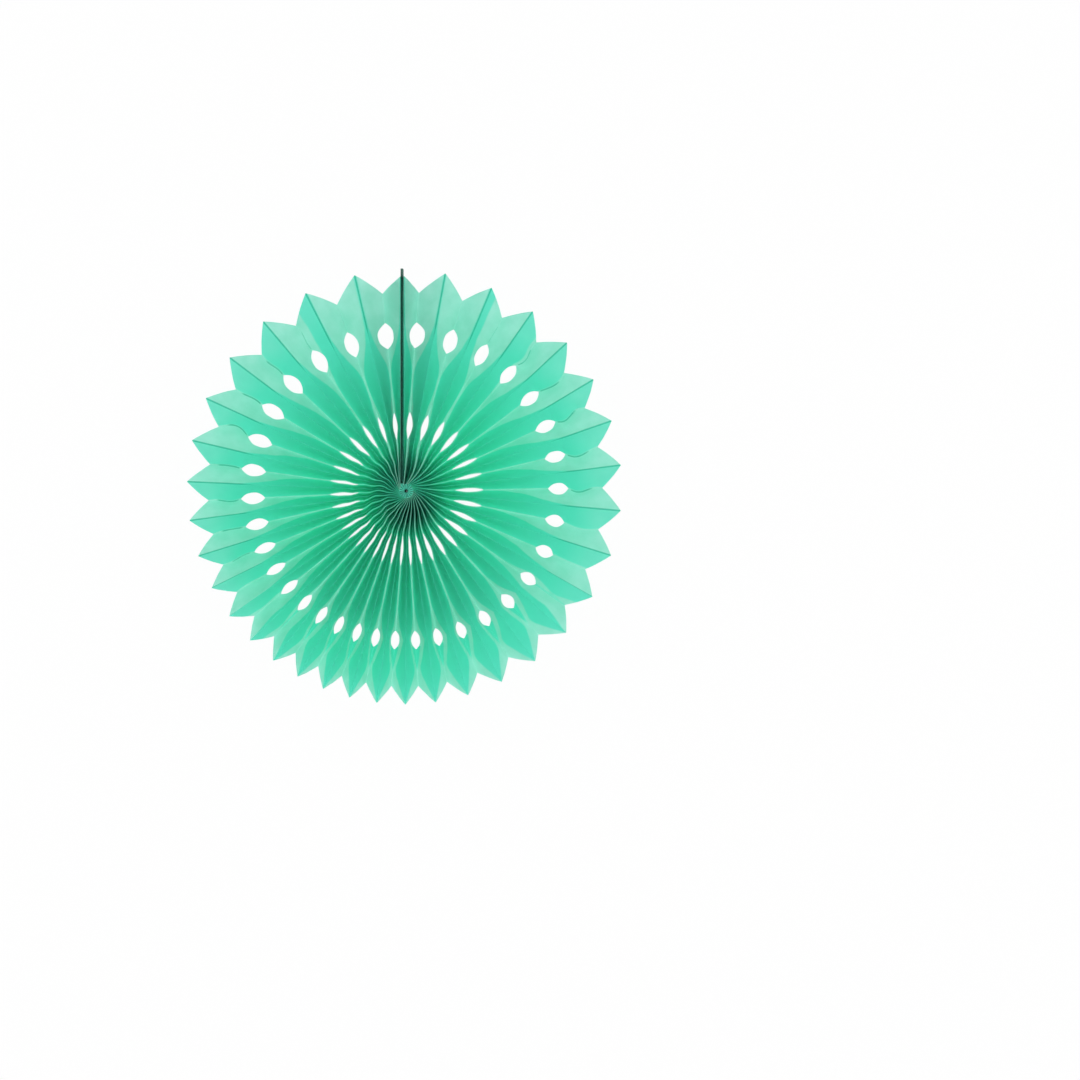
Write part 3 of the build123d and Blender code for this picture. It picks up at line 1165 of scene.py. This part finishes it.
    def folded(self, points: StripPoints, rows: StripRows) -> tuple[np.ndarray, dict[str, np.ndarray]]:
        """Place of each point of the strip once it is folded and spread.

        Args:
            points: Points of the strip.
            rows: Their rows.

        Returns:
            One row of X, Y and Z for each point, in millimetres, and the numbers of painted light and
            shade that its finish follows.
        """
        rule = self.rule
        radius = self.distances(points, rows)
        first, second, first_depth, second_depth = self.leaf_edges(points, radius)
        length = np.hypot(second - first, second_depth - first_depth)
        rims = rule.rim_angles()
        front = np.where(points.is_after, rims[points.first_fold], rims[points.second_fold]) % 360
        is_slit = radius < self.between_rings
        wide = np.where(is_slit, read(self.slit.widths, front), read(self.eye.widths, front))
        cut = rows.cut[points.row] * wide
        first_cut = np.where((points.first_fold % 2 == 1) & ~points.starts_free, cut, 0)
        second_cut = np.where((points.second_fold % 2 == 1) & ~points.ends_free, cut, 0)
        share = (first_cut + (length - first_cut - second_cut) * points.share) / length
        at_start, at_end = points.first_fold == 0, points.second_fold == rule.fold_count - 1
        half_land = rule.fold_land / 2
        first = first + np.where(points.is_glued, 0, np.where(at_start, rule.fold_land, half_land))
        second = second - np.where(points.is_glued, 0, np.where(at_end, rule.fold_land, half_land))
        run = np.hypot(second - first, second_depth - first_depth)
        wave = self.unevenness.wrinkles(points.leaf, rule.leaf_count, share, radius)
        along = first + (second - first) * share - wave * (second_depth - first_depth) / run
        depth = first_depth + (second_depth - first_depth) * share + wave * (second - first) / run
        angle = along / radius
        x = rule.board_offset + radius * np.sin(angle)
        z = -rule.board_reach + radius * np.cos(angle)
        even = radius * rule.tip_radius / rule.tips(front)
        across = np.where(points.is_after, share, 1 - share)
        side = self.painted_light.side(front, even, points.is_after, across)
        # A pale rim of painted light along the slits' edges.
        rim = np.where(is_slit & (cut > 0), cut / length + self.slit_light_rim - across, OUTSIDE)
        # Painted light and shade, kept on the points for the finish.
        light_tones = {
            "lit_side": np.maximum(side, rim),
            "rim_light": self.painted_light.rim_light(front, even, points.is_after),
            "painted_hub_shade": self.painted_light.painted_hub_shade(front, radius, across),
            "crease_shade": self.painted_light.crease_shade(front, even, across),
        }
        return np.column_stack([x, depth, z]), light_tones

    def fold(self, strip: bpy.types.Object, rows: StripRows) -> None:
        """Fold and spread the flat grid, and keep on it the painted light and shade that its finish
        follows.

        Args:
            strip: The flat grid, with its openings.
            rows: Its rows.
        """
        mesh = strip.data
        points = self.strip_points(*self.grid_places(mesh, len(rows.radius)))
        places, light_tones = self.folded(points, rows)
        mesh.vertices.foreach_set("co", (places * MILLIMETRE).ravel())
        for name, values in light_tones.items():
            keep_numbers(mesh, name, values)
        mesh.update()

    def thicken(self, strip: bpy.types.Object) -> None:
        """Give the sheet its thickness and sharp folds."""
        select_only(strip)
        wall = strip.modifiers.new("thickness", "SOLIDIFY")
        wall.thickness = self.thickness * MILLIMETRE
        wall.offset = 0
        wall.use_even_offset = True
        bpy.ops.object.modifier_apply(modifier=wall.name)
        bpy.ops.object.shade_smooth_by_angle(angle=radians(self.sharp_angle))

    def build(self) -> bpy.types.Object:
        """Cut and fold the strip and pack its ends.

        Returns:
            The whole tissue as one piece.
        """
        rows = self.rows()
        strip = self.flat_grid(len(rows.radius))
        self.cut_openings(strip, rows)
        self.fold(strip, rows)
        self.thicken(strip)
        strip.data.materials.append(self.finish.material())
        join_into(strip, self.ends.build(self.rule))
        return strip

    def dress(self, strip: bpy.types.Object) -> None:
        """Tie the tissue to the model."""
        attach(strip, "root")
        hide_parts("folded_tissue")


@dataclass(frozen=True)
class EndBoards:
    """The two boards, the strip between them and the thread at the hub, kept as packed."""

    board: BoardFinish = BoardFinish()
    adhesive: AdhesiveFinish = AdhesiveFinish()
    thread: ThreadFinish = ThreadFinish()

    def dress(self, nodes: dict[str, bpy.types.Object]) -> None:
        """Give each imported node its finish."""
        board = self.board.material()
        for name in ("right_end_board", "left_end_board"):
            dress_with(nodes[name], board)
        dress_with(nodes["adhesive_strip"], self.adhesive.material())
        dress_with(nodes["binding_thread"], self.thread.material())


@dataclass(frozen=True)
class Studio:
    """White wall close behind the rosette, pale floor, soft light and the camera."""

    camera_distance: float = 5.0
    sensor_width: float = 36.0
    view_limit: float = 20.0
    wall_gap: float = 0.045
    wall_size: float = 5.0
    wall_height: float = 0.5
    wall_glow: float = 0.97
    floor_drop: float = 0.42
    floor_size: float = 6.0
    floor_forward: float = 2.0
    floor_glow: float = 0.5
    lamp_size: float = 0.6
    lamp_power: float = 6.5
    lamp_places: tuple[tuple[float, float, float], ...] = ((-1.2, -1.2, -0.9), (1.2, -1.2, -0.9))
    lamps_look_at: tuple[float, float, float] = (0.0, 0.0, -0.2)
    sky: float = 0.97

    def build(self) -> None:
        """Set up all that surrounds the rosette."""
        self.place_camera()
        self.place_wall()
        self.place_floor()
        self.place_lamps()
        self.set_sky()
        bpy.context.scene.view_settings.view_transform = "Standard"

    def place_camera(self) -> None:
        """Camera straight in front of the photograph's middle."""
        x, z = PHOTO_CENTRE
        deselect_all()
        bpy.ops.object.camera_add(location=(x, -self.camera_distance, z), rotation=(pi / 2, 0, 0))
        camera = bpy.context.object
        camera.name = "camera"
        camera.data.sensor_width = self.sensor_width
        camera.data.sensor_fit = "HORIZONTAL"
        camera.data.lens = self.sensor_width * self.camera_distance / PHOTO_WIDTH
        camera.data.clip_end = self.view_limit
        bpy.context.scene.camera = camera

    def place_wall(self) -> None:
        """White wall just behind the back folds."""
        deselect_all()
        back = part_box("folded_tissue")[1].y + self.wall_gap
        place = (0, back, self.wall_height)
        bpy.ops.mesh.primitive_plane_add(size=self.wall_size, location=place, rotation=(pi / 2, 0, 0))
        wall = bpy.context.object
        wall.name = "wall"
        dress_with(wall, WhiteFinish("wall", self.wall_glow).material())

    def place_floor(self) -> None:
        """Pale floor, below the camera's view."""
        deselect_all()
        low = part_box("folded_tissue")[0].z - self.floor_drop
        bpy.ops.mesh.primitive_plane_add(size=self.floor_size, location=(0, -self.floor_forward, low))
        floor = bpy.context.object
        floor.name = "floor"
        dress_with(floor, WhiteFinish("floor", self.floor_glow).material())

    def place_lamps(self) -> None:
        """Two soft lamps, low on the left and the right."""
        middle = Vector(self.lamps_look_at)
        for number, spot in enumerate(self.lamp_places, start=1):
            place = Vector(spot)
            deselect_all()
            bpy.ops.object.light_add(type="AREA", location=place)
            lamp = bpy.context.object
            lamp.name = f"lamp_{number}"
            lamp.rotation_euler = (middle - place).to_track_quat("-Z", "Y").to_euler()
            lamp.data.shape = "DISK"
            lamp.data.size = self.lamp_size
            lamp.data.energy = self.lamp_power

    def set_sky(self) -> None:
        """Even light all round, seen as white by the camera."""
        world = bpy.data.worlds.new("studio_sky")
        bpy.context.scene.world = world
        world.use_nodes = True
        nodes = Nodes(world.node_tree)
        path = nodes.node("ShaderNodeLightPath").outputs
        bounced = nodes.math("MAXIMUM", path["Is Glossy Ray"], path["Is Transmission Ray"])
        seen = nodes.math("MAXIMUM", bounced, path["Is Camera Ray"])
        light = nodes.node("ShaderNodeBackground", {"Color": WHITE, "Strength": self.sky}).outputs[0]
        shown = nodes.node("ShaderNodeBackground", {"Color": WHITE, "Strength": 1.0}).outputs[0]
        nodes.node("ShaderNodeOutputWorld", {"Surface": nodes.mixed(seen, light, shown)})


def main() -> None:
    """Build the rosette's looks in order."""
    logging.basicConfig(level=logging.INFO, format="%(name)s: %(message)s")
    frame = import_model()
    tissue = PleatedTissue()
    sheet = tissue.build()
    tissue.dress(sheet)
    log.info("tissue folded, %d faces", len(sheet.data.polygons))
    EndBoards().dress(frame["nodes"])
    log.info("boards, strip and thread dressed")
    Studio().build()
    log.info("wall, floor, lamps and camera set")


if __name__ == "__main__":
    main()
